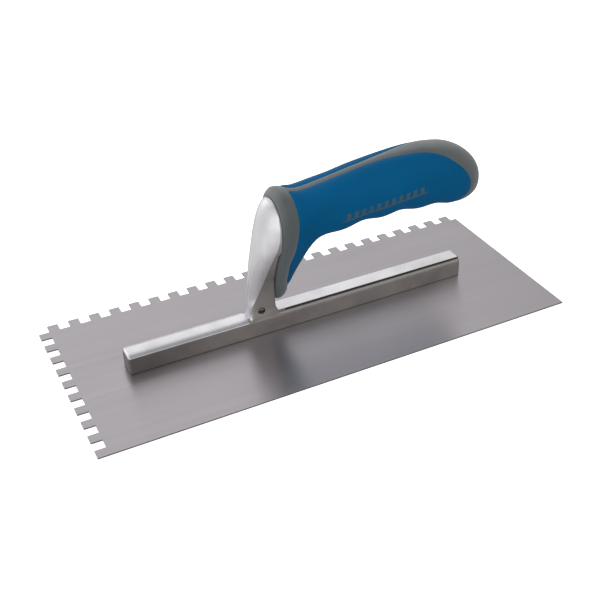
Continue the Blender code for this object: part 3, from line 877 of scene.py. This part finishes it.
class TrowelColours(bpy.types.PropertyGroup):
    """Colours of the trowel's materials."""
    steel: FloatVectorProperty(name="Steel", description="Colour of the blade", subtype="COLOR", size=3,
                               default=(0.455, 0.43, 0.455))
    cast: FloatVectorProperty(name="Cast", description="Colour of the matte casting", subtype="COLOR", size=3,
                              default=(0.41, 0.385, 0.36))
    polished: FloatVectorProperty(name="Polished", description="Colour of the polished casting",
                                  subtype="COLOR", size=3, default=(0.71, 0.70, 0.72))
    rivet: FloatVectorProperty(name="Rivets", description="Colour of the rivets", subtype="COLOR", size=3,
                               default=(0.48, 0.47, 0.47))
    blue: FloatVectorProperty(name="Blue", description="Colour of the hard grip", subtype="COLOR", size=3,
                              default=(0.001, 0.113, 0.275))
    grey: FloatVectorProperty(name="Grey", description="Colour of the soft grip", subtype="COLOR", size=3,
                              default=(0.046, 0.064, 0.068))
    band: FloatVectorProperty(name="Band", description="Colour of the printed band", subtype="COLOR", size=3,
                              default=(0.085, 0.12, 0.14))


class TROWEL_OT_blade(bpy.types.Operator):
    """Make the notched blade"""
    bl_idname = "trowel.make_blade"
    bl_label = "Blade"

    def execute(self, context):
        sizes = context.scene.trowel_sizes
        plate = to_mesh(blade_shape(sizes.notch, sizes.blade_edge), "blade_plate")
        holes = countersinks(sizes.clearance, sizes.rivet_shank, sizes.rivet_head)
        mesh = cut_and_join(plate, [(holes, "DIFFERENCE")])
        steel = tuple(context.scene.trowel_colours.steel)
        piece = add_piece("notched_blade", mesh, [brushed_steel(steel), sheared_edge_with_shade(steel)], ("blade",),
                          sharp=0)
        piece.data.shade_flat()
        # The side faces take the darker edge material with its painted shade.
        for face in piece.data.polygons:
            face.material_index = 1 if abs(face.normal.z) < 0.5 else 0
        return {"FINISHED"}


class TROWEL_OT_rivets(bpy.types.Operator):
    """Finish the rivets"""
    bl_idname = "trowel.finish_rivets"
    bl_label = "Rivets"

    def execute(self, context):
        surface = ground_metal(tuple(context.scene.trowel_colours.rivet))
        for name in RIVETS:
            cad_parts[name].data.materials.clear()
            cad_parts[name].data.materials.append(surface)
        return {"FINISHED"}


class TROWEL_OT_casting(bpy.types.Operator):
    """Make the mounting bar with its post and tang"""
    bl_idname = "trowel.make_casting"
    bl_label = "Casting"

    def execute(self, context):
        sizes = context.scene.trowel_sizes
        colours = context.scene.trowel_colours
        joined = [(to_mesh(web_shape(), "web"), "UNION"), (to_mesh(leaf_shape(), "leaf"), "UNION"),
                  (to_mesh(tang_shape(), "tang"), "UNION"), (to_mesh(gate_mark(), "gate_mark"), "UNION"),
                  (shank_holes(sizes.clearance, sizes.rivet_shank), "DIFFERENCE")]
        mesh = cut_and_join(to_mesh(bar_shape(), "bar"), joined)
        casting_finish(mesh)
        surfaces = [cast_metal(tuple(colours.cast)), polished_metal(tuple(colours.polished)), step_shade_and_dark_mark()]
        add_piece("cast_bar_and_post", mesh, surfaces, ("mount_casting",), sharp=32)
        return {"FINISHED"}


class TROWEL_OT_grip(bpy.types.Operator):
    """Make the blue moulding and the grey overmould"""
    bl_idname = "trowel.make_grip"
    bl_label = "Grip"

    def execute(self, context):
        sizes = context.scene.trowel_sizes
        colours = context.scene.trowel_colours
        skin = grip_skin(sizes.grip_sides, sizes.grip_step)
        skin.normal_update()
        split_along(skin, inside_blue, EDGE_SNAP)
        skin.normal_update()
        sink_seam(skin, sizes.seam_depth, sizes.seam_reach)
        skin.normal_update()
        hard = moulded_blue(tuple(colours.blue), tuple(colours.band))
        soft = soft_grey(tuple(colours.grey))
        rows = (("grip_blue_moulding", True, hard, "grip_body", "blue_plastic"),
                ("grip_grey_overmould", False, soft, "soft_overmould", "grey_rubber"))
        for name, blue, surface, node, slot in rows:
            piece = add_piece(name, to_mesh(grip_part(skin, blue), name), [surface], (node,), sharp=0)
            wall = piece.modifiers.new("wall", "SOLIDIFY")
            wall.thickness = sizes.shell
            wall.offset = -1
            wall.use_rim = True
            round_edges(piece, sizes.lip, 3, 50)
        skin.free()
        return {"FINISHED"}


class TROWEL_OT_stage(bpy.types.Operator):
    """Make the floor, the room with its light, and the camera"""
    bl_idname = "trowel.make_stage"
    bl_label = "Stage"

    def execute(self, context):
        make_floor()
        make_light(context.scene)
        make_camera(context.scene)
        return {"FINISHED"}


def make_floor():
    """Pale floor just under the object. Only the camera sees it, so it doesn't light the sides."""
    shape = bmesh.new()
    bmesh.ops.create_grid(shape, x_segments=1, y_segments=1, size=FLOOR_HALF_SIZE)
    bmesh.ops.translate(shape, verts=shape.verts[:], vec=(0, 0, -FLOOR_DROP))
    floor = bpy.data.objects.new("floor", to_mesh(shape, "floor"))
    bpy.context.scene.collection.objects.link(floor)
    floor.visible_diffuse = False
    floor.visible_glossy = False
    floor.visible_shadow = False
    paper = Finish("white_paper")
    paper.set(Base_Color=(0.9, 0.9, 0.9), Roughness=0.9, Specular_IOR_Level=0.0,
              Emission_Color=(1.0, 1.0, 1.0), Emission_Strength=FLOOR_GLOW)
    floor.data.materials.append(paper.material)


def make_light(scene):
    """Pale room, brighter behind the object and on its left, with one soft panel in front of it."""
    world = bpy.data.worlds.new("white_room")
    world.use_nodes = True
    tree = world.node_tree
    background = tree.nodes["Background"]
    place = tree.nodes.new("ShaderNodeTexCoord")
    parts = tree.nodes.new("ShaderNodeSeparateXYZ")
    rise = tree.nodes.new("ShaderNodeMapRange")
    shades = tree.nodes.new("ShaderNodeValToRGB")
    tree.links.new(place.outputs["Generated"], parts.inputs[0])
    tree.links.new(parts.outputs["Z"], rise.inputs[0])
    rise.inputs[1].default_value = -1
    tree.links.new(rise.outputs[0], shades.inputs[0])
    stops = shades.color_ramp.elements
    while len(stops) < len(ROOM_BRIGHTNESS):
        stops.new(0.5)
    for stop, (height, brightness) in zip(stops, ROOM_BRIGHTNESS):
        stop.position = height
        stop.color = (brightness, brightness, brightness, 1)
    total = shades.outputs[0]
    for way, start, full, brightness in ROOM_WALLS:
        facing = tree.nodes.new("ShaderNodeVectorMath")
        facing.operation = "DOT_PRODUCT"
        tree.links.new(place.outputs["Generated"], facing.inputs[0])
        facing.inputs[1].default_value = Vector(way).normalized()
        wall = tree.nodes.new("ShaderNodeMapRange")
        wall.interpolation_type = "SMOOTHSTEP"
        tree.links.new(facing.outputs["Value"], wall.inputs[0])
        for socket, number in zip(("From Min", "From Max", "To Max"), (start, full, brightness)):
            wall.inputs[socket].default_value = number
        joined = tree.nodes.new("ShaderNodeMath")
        tree.links.new(total, joined.inputs[0])
        tree.links.new(wall.outputs[0], joined.inputs[1])
        total = joined.outputs[0]
    tree.links.new(total, background.inputs["Color"])
    scene.world = world
    light = bpy.data.lights.new("front_panel", "AREA")
    light.shape = "RECTANGLE"
    light.size, light.size_y = PANEL_SIZE
    light.energy = PANEL_POWER
    lamp = bpy.data.objects.new("front_panel", light)
    lamp.location = PANEL_PLACE
    lamp.rotation_euler = (-lamp.location).to_track_quat("-Z", "Y").to_euler()
    scene.collection.objects.link(lamp)


def make_camera(scene):
    view = bpy.data.cameras.new("camera")
    view.lens = CAMERA_LENS
    view.shift_x, view.shift_y = CAMERA_SHIFT
    view.clip_start, view.clip_end = CAMERA_CLIP
    camera = bpy.data.objects.new("camera", view)
    camera.location = CAMERA_PLACE
    camera.rotation_euler = Vector(CAMERA_AIM).to_track_quat("-Z", "Y").to_euler()
    scene.collection.objects.link(camera)
    scene.camera = camera
    scene.view_settings.view_transform = "Standard"


class TROWEL_PT_panel(bpy.types.Panel):
    """Pieces of the trowel, in the order they are made"""
    bl_label = "Notched Trowel"
    bl_space_type = "VIEW_3D"
    bl_region_type = "UI"
    bl_category = "Trowel"

    def draw(self, context):
        for operator in OPERATORS:
            self.layout.operator(operator.bl_idname)
        for group in (context.scene.trowel_sizes, context.scene.trowel_colours):
            for name in group.__annotations__:
                self.layout.prop(group, name)


OPERATORS = (TROWEL_OT_blade, TROWEL_OT_rivets, TROWEL_OT_casting, TROWEL_OT_grip, TROWEL_OT_stage)
CLASSES = (TrowelSizes, TrowelColours, *OPERATORS, TROWEL_PT_panel)


def register():
    for made in CLASSES:
        bpy.utils.register_class(made)
    bpy.types.Scene.trowel_sizes = PointerProperty(type=TrowelSizes)
    bpy.types.Scene.trowel_colours = PointerProperty(type=TrowelColours)


def unregister():
    del bpy.types.Scene.trowel_colours
    del bpy.types.Scene.trowel_sizes
    for made in reversed(CLASSES):
        bpy.utils.unregister_class(made)


def main():
    register()
    bpy.ops.trowel.make_blade()
    bpy.ops.trowel.finish_rivets()
    bpy.ops.trowel.make_casting()
    bpy.ops.trowel.make_grip()
    bpy.ops.trowel.make_stage()


if __name__ == "__main__":
    main()
